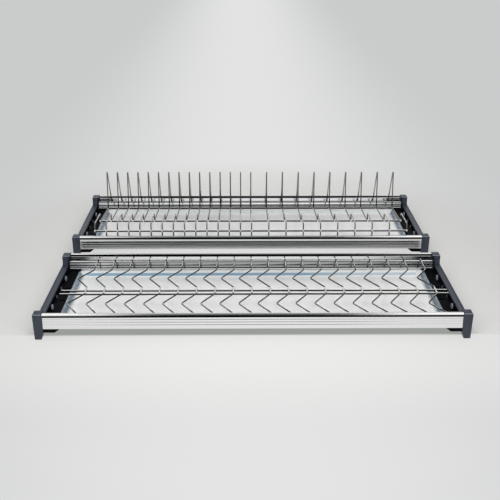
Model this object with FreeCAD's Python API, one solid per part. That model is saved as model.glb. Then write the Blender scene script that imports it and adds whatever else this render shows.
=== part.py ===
import FreeCAD, Part
import math
import os
from FreeCAD import Vector

# Cabinet dish rack: a cup tier in front and a plate tier behind it, on one counter.
# Millimetres. X runs along the rack, Y from front to back, Z up.
# The origin is on the counter, at the middle of the whole set.

# Overall sizes
rack_width = 864.0
tier_depth = 291.0
tier_gap = 89.0

# Bracket posts and feet
post_height = 57.0
post_width = 18.4
post_depth = 19.0
post_bevel = 2.0
foot_width = 12.9
foot_taper_height = 22.0
foot_edge = 1.0
foot_heel_length = 5.0
foot_heel_height = 12.0

# Bracket side rail, hollow from below
rail_width = 14.0
rail_top = 35.5
rail_bottom = 10.0
rail_wall = 2.6
rail_bevel = 2.0
rail_ramp = 4.0
rib_thickness = 2.0
rib_count = 6

# Bracket ledge that carries the tray, and the shoes that carry the profiles
ledge_top = 24.5
ledge_thickness = 3.5
ledge_reach = 42.0
ledge_rib_drop = 7.0
ledge_rib_margin = 5.0
shoe_front = 2.5
shoe_back = 20.0
shoe_bottom = 15.0
shoe_reach_top = 52.0
shoe_reach_bottom = 40.0

# Screw bosses for fixing the brackets to the cabinet sides
boss_diameter = 12.0
boss_height = 7.0
boss_z = 29.5
boss_spacing = 131.0
cabinet_hole_diameter = 4.5
seat_sides = 12

# Small blind bosses near the middle of the rail, and the drain slots in the ledge
small_boss_diameter = 7.0
small_boss_height = 5.0
small_boss_hole = 3.0
small_boss_spacing = 39.0
drain_slot_spacing = 54.0
drain_slot_length = 11.0
drain_slot_width = 7.5
drain_slot_edge = 5.5

# Aluminium profile, one hollow extrusion used four times
profile_wall = 1.5
face_setback = 0.8
neck_setback = 4.0
neck_height = 3.2
bead_width = 12.0
bead_lip = 3.6
bead_radius = 5.9
profile_drop = 0.4
shelf_drop = 3.8
shelf_depth = 29.0
groove_width = 1.4
groove_depth = 0.6
face_grooves = 3
face_groove_first = 5.2
face_groove_pitch = 5.65
shelf_grooves = 2
shelf_groove_first = 5.4
shelf_groove_pitch = 7.6
port_radius = 3.3
port_bore = 3.2
port_sink = 0.5
port_drop = 5.1
screw_sides = 8

# Screws that fix the profiles between the brackets
screw_diameter = 3.1
screw_hole_diameter = 3.6
screw_bite = 14.0
screw_head_diameter = 6.6
screw_head_height = 2.2
screw_head_depth = 0.6
screw_head_clearance = 0.3

# Drip tray, pressed from thin sheet
tray_sheet = 0.8
tray_rim = 4.0
tray_depth = 9.0
tray_slope = 12.0
tray_corner = 8.0
corner_flats = 4
tray_overlap = 4.0
tray_end_gap = 1.2
seat_clearance = 0.1

# Basket wires and rods
wire_diameter = 3.0
rod_diameter = 4.5
weld_sink = 0.25
wire_sides = 6
rod_sides = 12
step_turn = math.radians(45)
wire_lift = 0.3

# Cup basket: chevron wires on two middle rods
cup_pitch = 38.7
cup_end_gap = 12.4
chevron_width = 28.0
chevron_shift = 4.0
chevron_half_length = 41.5
chevron_to_rod = 6.0
middle_rod_y = 109.0
middle_rod_spacing = 15.0
middle_rod_end = 25.0
cup_wire_front_end = 14.0
cup_wire_rear_end = 20.5
chevron_bend = 9.0

# Plate basket: a low hump in front and a tall loop behind
plate_end_gap = 52.4
narrow_pitch = 27.2
narrow_count = 15
wide_count = 9
hump_foot_y = 22.5
hump_front_y = 26.5
hump_top = 80.0
hump_fall = 3.0
hump_rear_y = 105.0
hump_bend = 6.0
front_rod_z = 63.0
step_y = 95.5
step_z = 57.5
step_bend = 6.0
loop_height = 141.5
loop_tip_back = 54.0
loop_foot_back = 76.0
loop_foot_lift = 1.8
loop_foot_bend = 7.0
loop_bend_back = 26.0
loop_bend_z = 68.0
loop_end_back = 19.0
tip_half_width = 3.2
tip_bend = 3.0
foot_lift = 0.9
rod_overhang = 2.0

# Places that follow from the sizes above
half_width = rack_width / 2
tier_step = tier_depth + tier_gap
cup_front_y = -(tier_step + tier_depth) / 2
plate_front_y = cup_front_y + tier_step
profile_length = rack_width - 2 * post_width
profile_top = post_height - profile_drop
lip_bottom = profile_top - bead_lip
face_top = lip_bottom - neck_height
shelf_top = face_top - shelf_drop
port_z = shelf_top - port_drop
wire_radius = wire_diameter / 2
rod_radius = rod_diameter / 2
wire_z = shelf_top + wire_lift + wire_radius
middle_rod_z = wire_z - wire_radius - rod_radius + weld_sink
tray_half_length = half_width - ledge_reach + tray_overlap
rod_offset = wire_radius + rod_radius - weld_sink


def box(x0, x1, y0, y1, z0, z1):
    """A block between two corners."""
    return Part.makeBox(x1 - x0, y1 - y0, z1 - z0, Vector(x0, y0, z0))


def across(outline, x0, x1):
    """A prism along X from an outline of (y, z) points."""
    points = [Vector(x0, y, z) for y, z in outline]
    face = Part.Face(Part.makePolygon(points + points[:1]))
    return face.extrude(Vector(x1 - x0, 0, 0))


def along(outline, y0, y1):
    """A prism along Y from an outline of (x, z) points."""
    points = [Vector(x, y0, z) for x, z in outline]
    face = Part.Face(Part.makePolygon(points + points[:1]))
    return face.extrude(Vector(0, y1 - y0, 0))


def bore(x0, x1, y, z, diameter):
    """A true cylinder along X, for holes that take a screw from outside."""
    return Part.makeCylinder(diameter / 2, x1 - x0, Vector(x0, y, z), Vector(1, 0, 0))


def flat_sided(diameter, sides):
    """Corners of a flat-sided section with the same area as the round one."""
    round_area = math.pi * diameter ** 2 / 4
    corner_radius = math.sqrt(2 * round_area / (sides * math.sin(2 * math.pi / sides)))
    turns = [2 * math.pi * (i + 0.5) / sides for i in range(sides)]
    return [(corner_radius * math.cos(turn), corner_radius * math.sin(turn)) for turn in turns]


def bar(x0, x1, y, z, diameter, sides):
    """A bar along X with flat sides, near enough to round for what repeats."""
    return across([(y + dy, z + dz) for dy, dz in flat_sided(diameter, sides)], x0, x1)


def fuse_all(shapes):
    """One clean solid from shapes that touch."""
    return shapes[0].multiFuse(shapes[1:]).removeSplitter()


# Bracket
# It is drawn from its outer face, x = 0, inwards, and from the tier's front, y = 0.

def make_post():
    """An upright at one end, bevelled at the top and drawn in at the foot."""
    front_view = [
        (foot_edge, 0),
        (foot_width, 0),
        (post_width, foot_taper_height),
        (post_width, post_height - post_bevel),
        (post_width - post_bevel, post_height),
        (post_bevel, post_height),
        (0, post_height - post_bevel),
        (0, foot_edge),
    ]
    side_view = [
        (foot_edge, 0),
        (post_depth - foot_heel_length, 0),
        (post_depth, foot_heel_height),
        (post_depth, post_height - post_bevel),
        (post_depth - post_bevel, post_height),
        (post_bevel, post_height),
        (0, post_height - post_bevel),
        (0, foot_edge),
    ]
    return along(front_view, 0, post_depth).common(across(side_view, 0, post_width))


def make_bracket_end():
    """A post with the shoe and the cheek that take the end of a profile."""
    shoe = along(
        [
            (rail_width / 2, shoe_bottom),
            (shoe_reach_bottom, shoe_bottom),
            (shoe_reach_top, ledge_top),
            (rail_width / 2, ledge_top),
        ],
        shoe_front,
        shoe_back,
    )
    cheek = box(rail_wall, post_width, post_depth - post_bevel, shelf_depth, rail_bottom, shelf_top)
    ramp = across(
        [
            (post_depth - post_bevel, rail_bottom),
            (shelf_depth + rail_ramp, rail_bottom),
            (shelf_depth + rail_ramp, rail_top),
            (post_depth + rail_ramp, rail_top),
            (post_depth - post_bevel, rail_top + rail_ramp + post_bevel),
        ],
        0,
        rail_width,
    )
    return fuse_all([make_post(), shoe, cheek, ramp])


def turned_back(shape):
    """The same shape at the rear of the tier, facing backwards."""
    return shape.mirror(Vector(0, tier_depth / 2, 0), Vector(0, 1, 0))


def rib_places():
    """Where the moulded ribs stand along the rail."""
    first = shelf_depth + rail_ramp
    pitch = (tier_depth - 2 * first) / (rib_count + 1)
    return [first + pitch * (i + 1) for i in range(rib_count)]


def make_rail():
    """The side rail, cored out from below, with its ledge and ribs."""
    start = post_depth
    end = tier_depth - post_depth
    core_start = shelf_depth + rail_ramp
    core_end = tier_depth - core_start
    outline = [
        (0, rail_bottom),
        (rail_width, rail_bottom),
        (rail_width, rail_top - rail_bevel),
        (rail_width - rail_bevel, rail_top),
        (0, rail_top),
    ]
    rail = along(outline, start, end)
    core_top = rail_top - rail_wall
    core = box(rail_wall, rail_width - rail_wall, core_start, core_end, rail_bottom, core_top)
    ledge_bottom = ledge_top - ledge_thickness
    ledge = box(rail_width - rail_wall, ledge_reach, start, end, ledge_bottom, ledge_top)
    parts = [rail.cut(core), ledge]
    outer_x = rail_wall / 2
    inner_x = rail_width - rail_wall / 2
    gusset = [
        (inner_x, ledge_bottom - ledge_rib_drop),
        (ledge_reach - ledge_rib_margin, ledge_bottom),
        (ledge_reach - ledge_rib_margin, ledge_top - ledge_thickness / 2),
        (inner_x, ledge_top - ledge_thickness / 2),
    ]
    for y in rib_places():
        y0 = y - rib_thickness / 2
        y1 = y + rib_thickness / 2
        parts.append(box(outer_x, inner_x, y0, y1, rail_bottom + rail_wall, rail_top - outer_x))
        parts.append(along(gusset, y0, y1))
    return fuse_all(parts)


def pair_places(spacing):
    """Two places along the rail, the same way from the middle of the tier."""
    return [(tier_depth - spacing) / 2, (tier_depth + spacing) / 2]


def port_place():
    """Centre of the screw port in the profile, from its outer face."""
    return face_setback + profile_wall + port_radius - port_sink, port_z


def screw_seats():
    """The screw axes of one bracket, for its front and rear profiles."""
    y, z = port_place()
    return [(y, z), (tier_depth - y, z)]


def make_bracket():
    """One moulded side bracket, its outer face on x = 0."""
    front = make_bracket_end()
    boss_end = rail_width + boss_height
    small_boss_end = rail_width + small_boss_height
    parts = [make_rail(), front, turned_back(front)]
    for y in pair_places(boss_spacing):
        parts.append(bar(rail_wall / 2, boss_end, y, boss_z, boss_diameter, seat_sides))
    for y in pair_places(small_boss_spacing):
        parts.append(bar(rail_wall / 2, small_boss_end, y, boss_z, small_boss_diameter, screw_sides))
    body = fuse_all(parts)
    for y in pair_places(boss_spacing):
        body = body.cut(bore(-1, boss_end + 1, y, boss_z, cabinet_hole_diameter))
    for y in pair_places(small_boss_spacing):
        body = body.cut(bar(rail_width, small_boss_end + 1, y, boss_z, small_boss_hole, screw_sides))
    slot_end = ledge_reach - drain_slot_edge
    slot_start = slot_end - drain_slot_length
    for y in pair_places(drain_slot_spacing):
        y0 = y - drain_slot_width / 2
        y1 = y + drain_slot_width / 2
        body = body.cut(box(slot_start, slot_end, y0, y1, rail_bottom, ledge_top + 1))
    head_floor = screw_head_depth + screw_head_height
    head_hole_diameter = screw_head_diameter + 2 * screw_head_clearance
    for y, z in screw_seats():
        body = body.cut(bar(-1, post_width + 1, y, z, screw_hole_diameter, screw_sides))
        body = body.cut(bar(-1, head_floor, y, z, head_hole_diameter, seat_sides))
    return body.removeSplitter()


def left_side(shape, front_y):
    """Set a bracket piece at the left end of a tier."""
    placed = shape.copy()
    placed.translate(Vector(-half_width, front_y, 0))
    return placed


def right_side(shape, front_y):
    """Set the mirrored bracket piece at the right end of a tier."""
    return left_side(shape, front_y).mirror(Vector(0, 0, 0), Vector(1, 0, 0))


# Profile

def rounded_band(y0, y1, z0, z1, radius):
    """A block along the profile whose two upper edges are rounded."""
    band = box(0, profile_length, y0, y1, z0, z1)
    upper = [edge for edge in band.Edges if edge.BoundBox.ZMin > (z0 + z1) / 2]
    lengthwise = [edge for edge in upper if edge.BoundBox.XLength > profile_length / 2]
    return band.makeFillet(radius, lengthwise)


def make_groove(y_face, inward, z):
    """A V groove along the profile, cut into the wall whose face is at y_face."""
    outline = [
        (y_face - inward * groove_depth, z - groove_width),
        (y_face + inward * groove_depth, z),
        (y_face - inward * groove_depth, z + groove_width),
    ]
    return across(outline, 0, profile_length)


def make_profile():
    """The front profile, from its left end at x = 0, with its face to the front."""
    bead_middle = profile_top - bead_radius
    inner_face = face_setback + profile_wall
    outside = fuse_all([
        box(0, profile_length, face_setback, shelf_depth, ledge_top, shelf_top),
        box(0, profile_length, face_setback, bead_width, shelf_top, face_top),
        rounded_band(0, bead_width, face_top, profile_top, bead_radius),
    ])
    undercut = box(0, profile_length, 0, neck_setback, face_top, lip_bottom)
    lower_hollow = box(
        0,
        profile_length,
        inner_face,
        shelf_depth - profile_wall,
        ledge_top + profile_wall,
        shelf_top - profile_wall,
    )
    neck_hollow = box(
        0,
        profile_length,
        neck_setback + profile_wall,
        bead_width - profile_wall,
        ledge_top + profile_wall,
        bead_middle + profile_wall,
    )
    y, z = port_place()
    port = bar(0, profile_length, y, z, 2 * port_radius, seat_sides)
    shell = fuse_all([outside.cut(undercut).cut(lower_hollow.fuse(neck_hollow)), port])
    shell = shell.cut(bar(-1, profile_length + 1, y, z, port_bore, screw_sides))
    for i in range(face_grooves):
        z = face_top - face_groove_first - face_groove_pitch * i
        shell = shell.cut(make_groove(face_setback, 1, z))
    for i in range(shelf_grooves):
        z = shelf_top - shelf_groove_first - shelf_groove_pitch * i
        shell = shell.cut(make_groove(shelf_depth, -1, z))
    return shell.removeSplitter()


# Screw

def make_screw():
    """A pan-head screw on x, its head towards the outer face."""
    head_floor = screw_head_depth + screw_head_height
    head = bar(screw_head_depth, head_floor, 0, 0, screw_head_diameter, seat_sides)
    shank = bar(head_floor, post_width + screw_bite, 0, 0, screw_diameter, screw_sides)
    return fuse_all([head, shank])


def make_bracket_screws():
    """The two screws of one bracket."""
    screws = []
    for y, z in screw_seats():
        screw = make_screw()
        screw.translate(Vector(0, y, z))
        screws.append(screw)
    return Part.makeCompound(screws)


# Drip tray

def rounded_frame(half_x, y0, y1, radius, z):
    """A rectangle whose corners are rounded in short flats, as a closed wire."""
    corners = [
        (half_x - radius, y0 + radius, -90),
        (half_x - radius, y1 - radius, 0),
        (-half_x + radius, y1 - radius, 90),
        (-half_x + radius, y0 + radius, 180),
    ]
    points = []
    for x, y, start in corners:
        for k in range(corner_flats + 1):
            turn = math.radians(start + 90 * k / corner_flats)
            points.append(Vector(x + radius * math.cos(turn), y + radius * math.sin(turn), z))
    return Part.makePolygon(points + points[:1])


def make_tray():
    """A shallow pan with sloping sides and a flat rim."""
    y0 = shelf_depth + tray_end_gap
    y1 = tier_depth - shelf_depth - tray_end_gap
    rim_bottom = ledge_top + seat_clearance
    rim_top = rim_bottom + tray_sheet
    floor_bottom = rim_top - tray_depth - tray_sheet

    def frame(inset, z):
        radius = tray_corner - inset * tray_corner / (tray_rim + tray_slope) / 2
        return rounded_frame(tray_half_length - inset, y0 + inset, y1 - inset, radius, z)

    pan_foot = tray_rim + tray_slope
    outside = Part.makeLoft([frame(pan_foot, floor_bottom), frame(tray_rim, rim_bottom)], True, True)
    rim = Part.Face(frame(0, rim_bottom)).extrude(Vector(0, 0, tray_sheet))
    half_sheet = tray_sheet / 2
    inside_foot = frame(pan_foot + half_sheet, floor_bottom + tray_sheet)
    inside = Part.makeLoft([inside_foot, frame(tray_rim + half_sheet, rim_top)], True, True)
    return outside.fuse(rim).cut(inside).removeSplitter()


# Wires and rods

def bend_at(points, i, radius):
    """Where the bend at one point starts and ends, its centre, and the way inwards."""
    back = (points[i - 1] - points[i]).normalize()
    ahead = (points[i + 1] - points[i]).normalize()
    half_angle = back.getAngle(ahead) / 2
    inward = (back + ahead).normalize()
    enter = points[i] + back * (radius / math.tan(half_angle))
    leave = points[i] + ahead * (radius / math.tan(half_angle))
    centre = points[i] + inward * (radius / math.sin(half_angle))
    return enter, leave, centre, inward


def bent_path(points, radii):
    """The middle line of a bent wire: a sharp bend is cut into short straight steps."""
    path = [points[0]]
    for i in range(1, len(points) - 1):
        enter, leave, centre, inward = bend_at(points, i, radii[i - 1])
        turn = (enter - centre).getAngle(leave - centre)
        steps = max(1, round(turn / step_turn))
        if steps == 1:
            path.append(points[i])
        else:
            reach = radii[i - 1] / math.cos(turn / steps / 2)
            spin = (enter - centre).cross(leave - centre)
            for k in range(steps):
                angle = math.degrees(turn * (k + 0.5) / steps)
                arm = FreeCAD.Rotation(spin, angle).multVec(enter - centre).normalize()
                path.append(centre + arm * reach)
    path.append(points[-1])
    return path


def bent_wire(points, radii, flat_axis, diameter):
    """A wire bent in one plane, square to flat_axis, with mitred steps and flat sides."""
    path = bent_path(points, radii)
    section = flat_sided(diameter, wire_sides)
    rings = []
    for i, place in enumerate(path):
        before = (place - path[i - 1]).normalize() if i else (path[1] - place).normalize()
        after = (path[i + 1] - place).normalize() if i < len(path) - 1 else before
        middle = (before + after).normalize()
        side = flat_axis.cross(middle)
        stretch = 1 / middle.dot(before)
        rings.append([place + side * (u * stretch) + flat_axis * v for u, v in section])
    faces = [Part.Face(Part.makePolygon(ring + ring[:1])) for ring in (rings[0], rings[-1])]
    for first, second in zip(rings, rings[1:]):
        for k in range(wire_sides):
            n = (k + 1) % wire_sides
            side = [first[k], first[n], second[n], second[k], first[k]]
            faces.append(Part.Face(Part.makePolygon(side)))
    return Part.Solid(Part.Shell(faces))


def rod_outside_bend(points, i, radius):
    """Where a rod lies against the outside of a bend."""
    centre, inward = bend_at(points, i, radius)[2:4]
    return centre - inward * (radius + rod_offset)


def moved(shape, x, y):
    """A copy of a shape, moved over the counter."""
    copy = shape.copy()
    copy.translate(Vector(x, y, 0))
    return copy


# Cup basket

def chevron_ends():
    """Where each chevron wire turns, from front to rear."""
    front_end = middle_rod_y - chevron_to_rod
    rear_start = middle_rod_y + middle_rod_spacing + chevron_to_rod + wire_diameter
    return [
        (front_end - 2 * chevron_half_length, 0),
        (front_end - chevron_half_length, -chevron_width),
        (front_end, 0),
        (rear_start, 0),
        (rear_start + chevron_half_length, -chevron_width),
        (rear_start + 2 * chevron_half_length, 0),
    ]


def make_chevron_wire():
    """One chevron wire, its straight parts on x = 0."""
    points = [Vector(0, cup_wire_front_end, wire_z)]
    for y, x in chevron_ends():
        points.append(Vector(x, y, wire_z))
    points.append(Vector(0, tier_depth - cup_wire_rear_end, wire_z))
    return bent_wire(points, [chevron_bend] * (len(points) - 2), Vector(0, 0, 1), wire_diameter)


def cup_wire_places():
    """Where the straight parts of the chevron wires stand along the rack."""
    room = 2 * (tray_half_length - cup_end_gap) - chevron_width
    count = int(room / cup_pitch + 0.01) + 1
    first = chevron_shift + chevron_width / 2 - cup_pitch * (count - 1) / 2
    return [first + cup_pitch * i for i in range(count)]


def make_cup_wires(front_y):
    wire = make_chevron_wire()
    return Part.makeCompound([moved(wire, x, front_y) for x in cup_wire_places()])


def make_middle_rod(y):
    """One of the two rods that the chevron wires are welded on."""
    reach = half_width - middle_rod_end
    return bar(-reach, reach, y, middle_rod_z, rod_diameter, rod_sides)


# Plate basket

def plate_wire_points():
    """The turns of one plate wire on x = 0, from the front foot to the rear foot."""
    tip_y = tier_depth - loop_tip_back
    tip_z = loop_height - wire_radius
    points = [
        (hump_foot_y, shelf_top + foot_lift),
        (hump_front_y, hump_top),
        (hump_rear_y, hump_top - hump_fall),
        (step_y, step_z),
        (tier_depth - loop_foot_back, shelf_top + loop_foot_lift),
        (tip_y - tip_half_width, tip_z),
        (tip_y + tip_half_width, tip_z),
        (tier_depth - loop_bend_back, loop_bend_z),
        (tier_depth - loop_end_back, shelf_top + foot_lift),
    ]
    return [Vector(0, y, z) for y, z in points]


def make_plate_wire():
    """One plate wire: a foot, the hump, the step, the tall loop and a foot."""
    radii = [hump_bend, hump_bend, step_bend, loop_foot_bend, tip_bend, tip_bend, loop_foot_bend]
    return bent_wire(plate_wire_points(), radii, Vector(1, 0, 0), wire_diameter)


def plate_wire_places():
    """Where the plate wires stand: close together on the left, wider on the right."""
    first = -half_width + plate_end_gap
    narrow = [first + narrow_pitch * i for i in range(narrow_count)]
    wide_pitch = (half_width - plate_end_gap - narrow[-1]) / wide_count
    wide = [narrow[-1] + wide_pitch * (i + 1) for i in range(wide_count)]
    return narrow, wide


def make_plate_wires(places, front_y):
    wire = make_plate_wire()
    return Part.makeCompound([moved(wire, x, front_y) for x in places])


def make_plate_rod(place):
    """A rod across the plate wires, a little longer than the row."""
    reach = half_width - plate_end_gap + rod_overhang
    return bar(-reach, reach, place.y, place.z, rod_diameter, rod_sides)


def front_rod_place():
    """The front rod lies against the front of the rising legs."""
    share = (front_rod_z - shelf_top) / (hump_top - shelf_top)
    leg_y = hump_foot_y + share * (hump_front_y - hump_foot_y)
    return Vector(0, leg_y - rod_offset, front_rod_z)


def export(name, shape):
    shape.exportStep("parts/" + name + ".step")


def build_frame(tier, front_y):
    """Brackets, profiles and screws of one tier."""
    bracket = make_bracket()
    screws = make_bracket_screws()
    profile = make_profile()
    profile.translate(Vector(-profile_length / 2, 0, 0))
    export(tier + "_left_bracket", left_side(bracket, front_y))
    export(tier + "_right_bracket", right_side(bracket, front_y))
    export(tier + "_front_profile", moved(profile, 0, front_y))
    export(tier + "_rear_profile", moved(turned_back(profile), 0, front_y))
    export(tier + "_left_screws", left_side(screws, front_y))
    export(tier + "_right_screws", right_side(screws, front_y))
    export(tier + "_drip_tray", moved(make_tray(), 0, front_y))


os.makedirs("parts", exist_ok=True)

build_frame("cup", cup_front_y)
build_frame("plate", plate_front_y)

export("cup_front_rod", moved(make_middle_rod(middle_rod_y), chevron_shift, cup_front_y))
rear_rod = make_middle_rod(middle_rod_y + middle_rod_spacing)
export("cup_rear_rod", moved(rear_rod, chevron_shift, cup_front_y))
export("cup_chevron_wires", make_cup_wires(cup_front_y))

points = plate_wire_points()
rod_places = {
    "plate_front_rod": front_rod_place(),
    "plate_step_rod": rod_outside_bend(points, 3, step_bend),
    "plate_loop_rod": rod_outside_bend(points, 4, loop_foot_bend),
}
for name, place in rod_places.items():
    export(name, moved(make_plate_rod(place), 0, plate_front_y))
narrow_places, wide_places = plate_wire_places()
export("plate_narrow_wires", make_plate_wires(narrow_places, plate_front_y))
export("plate_wide_wires", make_plate_wires(wide_places, plate_front_y))
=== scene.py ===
import math

import bmesh
import bpy
from mathutils import Matrix, Vector


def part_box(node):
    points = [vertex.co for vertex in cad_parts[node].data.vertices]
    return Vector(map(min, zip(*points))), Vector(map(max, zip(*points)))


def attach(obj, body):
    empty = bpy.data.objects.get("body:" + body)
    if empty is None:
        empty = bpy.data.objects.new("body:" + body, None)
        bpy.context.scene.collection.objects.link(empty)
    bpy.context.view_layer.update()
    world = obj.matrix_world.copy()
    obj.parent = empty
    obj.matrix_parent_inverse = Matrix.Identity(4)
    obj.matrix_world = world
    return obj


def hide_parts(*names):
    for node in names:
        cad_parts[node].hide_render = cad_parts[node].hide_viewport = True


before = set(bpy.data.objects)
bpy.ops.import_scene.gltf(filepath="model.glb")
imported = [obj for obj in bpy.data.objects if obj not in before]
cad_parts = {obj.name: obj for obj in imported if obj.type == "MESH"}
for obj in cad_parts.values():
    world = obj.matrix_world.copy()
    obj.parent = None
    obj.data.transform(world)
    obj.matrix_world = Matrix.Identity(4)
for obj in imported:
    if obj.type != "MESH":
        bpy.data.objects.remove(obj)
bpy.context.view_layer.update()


# The camera stands in front of the rack, a little left of its middle, and looks down at it.
# Its place, tilt and lens were fitted to the corners of the rack in the photograph.
camera_place = (-0.0195, -1.6202, 0.7814)
camera_turn = -0.010
camera_tilt = math.radians(90 - 24.54)
camera_roll = 0.002
camera_data = bpy.data.cameras.new("camera")
camera_data.sensor_width = 36.0
camera_data.lens = 54.17
camera_data.clip_end = 60.0
camera = bpy.data.objects.new("camera", camera_data)
bpy.context.scene.collection.objects.link(camera)
camera.matrix_world = (
    Matrix.Translation(camera_place)
    @ Matrix.Rotation(camera_turn, 4, "Z")
    @ Matrix.Rotation(camera_tilt, 4, "X")
    @ Matrix.Rotation(camera_roll, 4, "Z")
)
bpy.context.scene.camera = camera
bpy.context.scene.view_settings.view_transform = "Standard"


# The floor is a wide sheet of matt white paper under the whole set.
# It gives the pale background, takes the soft shadows and shows in the bright metal.
def linear(code):
    """An sRGB hex colour as the linear colour that a shader takes."""
    parts = [int(code[i:i + 2], 16) / 255 for i in (1, 3, 5)]
    return [p / 12.92 if p <= 0.04045 else ((p + 0.055) / 1.055) ** 2.4 for p in parts] + [1.0]


def put_node(tree, kind, inputs, **settings):
    """Add a node, give it its settings, and set or link its inputs."""
    node = tree.nodes.new(kind)
    for setting, value in settings.items():
        setattr(node, setting, value)
    for socket, value in inputs.items():
        if isinstance(value, bpy.types.NodeSocket):
            tree.links.new(value, node.inputs[socket])
        else:
            node.inputs[socket].default_value = value
    return node


def region(tree, top, *edges):
    """How far a place lies in a region, from 0 to top, with a soft (value, start, end) step at each edge."""
    share = top
    for value, start, end in edges:
        step = put_node(
            tree,
            "ShaderNodeMapRange",
            {"Value": value, "From Min": start, "From Max": end, "To Max": share},
            interpolation_type="SMOOTHSTEP",
        )
        share = step.outputs["Result"]
    return share


def in_any(tree, *shares):
    """How far a place lies in any of several regions: the largest of their shares."""
    largest = shares[0]
    for share in shares[1:]:
        larger = put_node(tree, "ShaderNodeMath", {0: largest, 1: share}, operation="MAXIMUM")
        largest = larger.outputs["Value"]
    return largest


def lay_tones(tree, ground, *layers):
    """Tones laid one over another, each by its share; a tone is a hex colour or comes from a node."""
    tone = ground
    for share, over in layers:
        inputs = {"Factor": share}
        for socket, colour in (("A", tone), ("B", over)):
            inputs[socket] = linear(colour) if isinstance(colour, str) else colour
        tone = put_node(tree, "ShaderNodeMix", inputs, data_type="RGBA").outputs["Result"]
    return tone


def start_finish(name):
    """A new material with its node tree and its own shader."""
    finish = bpy.data.materials.new(name)
    finish.use_nodes = True
    return finish, finish.node_tree, finish.node_tree.nodes["Principled BSDF"]


def deselect_all():
    """Leave object mode ready for a new piece, with nothing selected."""
    if bpy.context.object and bpy.context.object.mode != "OBJECT":
        bpy.ops.object.mode_set(mode="OBJECT")
    bpy.ops.object.select_all(action="DESELECT")


# Uncoated paper scatters the light evenly, so it has next to no shine.
paper, tree, shader = start_finish("matt_white_paper")
place = put_node(tree, "ShaderNodeTexCoord", {})
spot = put_node(tree, "ShaderNodeSeparateXYZ", {"Vector": place.outputs["Object"]})
way_back = spot.outputs["Y"]
middle_distance = put_node(tree, "ShaderNodeMath", {0: spot.outputs["X"]}, operation="ABSOLUTE")
from_middle = middle_distance.outputs["Value"]
# The sheet's tone is painted brightest along its middle and falls off by about a tenth to each side, as
# painted fall-off of the light.
to_side = region(tree, 1.0, (from_middle, 0.05, 0.85))
near_tone = lay_tones(tree, "#DFDEDC", (to_side, "#C9C8C6"))
far_tone = lay_tones(tree, "#E2E3E2", (to_side, "#CACCCC"))
front_tone = lay_tones(tree, "#EDEDEC", (to_side, "#D8D9D8"))
tree.links.new(near_tone, shader.inputs["Base Color"])
shader.inputs["Roughness"].default_value = 0.9
shader.inputs["Specular IOR Level"].default_value = 0.2
# Away from the rack the paper is shown at its own tone, so that the background stays even.
# Under the front profile an even grey half shade is drawn on it, which ends just in front of the rack.
# Just before the rack the paper's tone is painted brighter, a painted pool of light.
before_rack = region(tree, 1.0, (way_back, -0.05, -0.25), (way_back, -0.62, -0.40))
in_half_shade = region(
    tree,
    1.0,
    (from_middle, 0.432, 0.415),
    (way_back, -0.323, -0.314),
    (way_back, -0.20, -0.24),
)
shown_tone = lay_tones(tree, far_tone, (before_rack, front_tone), (in_half_shade, "#9A9E9A"))
shown_paper = put_node(tree, "ShaderNodeEmission", {"Color": shown_tone, "Strength": 1.0})
reach = put_node(tree, "ShaderNodeVectorMath", {0: place.outputs["Object"]}, operation="LENGTH")
far_off = region(tree, 1.0, (reach.outputs["Value"], 0.50, 0.85))
# Just behind the gap between the tiers, painted light keeps the paper as bright as it shows there in the
# photograph, over the tiers' shadow.
behind_gap = region(
    tree,
    0.90,
    (from_middle, 0.460, 0.400),
    (way_back, -0.046, 0.020),
    (way_back, 0.130, 0.095),
)
# In front of the rack painted light covers the rack's shadow on the paper, so that only a trace of it stays.
in_front = region(tree, 0.85, (way_back, -0.312, -0.322))
# In these regions the camera and the metal see the paper glow with its painted tone, in place of its lit
# tone.
shown_share = in_any(tree, far_off, in_front, in_half_shade, behind_gap)
ray = put_node(tree, "ShaderNodeLightPath", {})
seen = in_any(tree, ray.outputs["Is Camera Ray"], ray.outputs["Is Glossy Ray"])
seen_share = put_node(tree, "ShaderNodeMath", {0: seen, 1: shown_share}, operation="MULTIPLY")
sheet_mix = put_node(
    tree,
    "ShaderNodeMixShader",
    {0: seen_share.outputs["Value"], 1: shader.outputs["BSDF"], 2: shown_paper.outputs["Emission"]},
)
tree.links.new(sheet_mix.outputs["Shader"], tree.nodes["Material Output"].inputs["Surface"])

deselect_all()
bpy.ops.mesh.primitive_plane_add(size=30.0, location=(0, 6.0, 0))
floor = bpy.context.object
floor.name = "floor"
bpy.ops.object.transform_apply(location=True, rotation=True, scale=True)
floor.data.materials.append(paper)


# Studio light: a soft lamp high over each end, two keys and a wide lamp in front, and one over the top.
# Only the two over the ends show in the metal, and the gap between them lies darker along the bright beads.
def hang_lamp(name, place, target, width, height, watts):
    """A rectangular soft lamp that faces a target."""
    data = bpy.data.lights.new(name, "AREA")
    data.shape = "RECTANGLE"
    data.size = width
    data.size_y = height
    data.energy = watts
    lamp = bpy.data.objects.new(name, data)
    bpy.context.scene.collection.objects.link(lamp)
    lamp.location = place
    lamp.rotation_euler = (Vector(target) - Vector(place)).to_track_quat("-Z", "Y").to_euler()
    return lamp


for name, way in (("left_lamp", -1), ("right_lamp", 1)):
    hang_lamp(name, (1.5 * way, 0.0, 2.2), (1.2 * way, 0.1, 0), 1.6, 1.6, 8.0)
for name, place, width, height, watts in (
    ("left_key_lamp", (-1.3, -1.9, 1.35), 0.8, 0.6, 11.0),
    ("right_key_lamp", (1.3, -1.9, 1.35), 0.8, 0.6, 11.0),
    ("front_lamp", (0, -2.8, 1.3), 3.0, 1.4, 17.0),
    ("top_lamp", (0, 0.1, 2.6), 2.6, 2.0, 27.0),
):
    lamp = hang_lamp(name, place, (0, -0.1, 0), width, height, watts)
    lamp.visible_glossy = False

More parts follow.
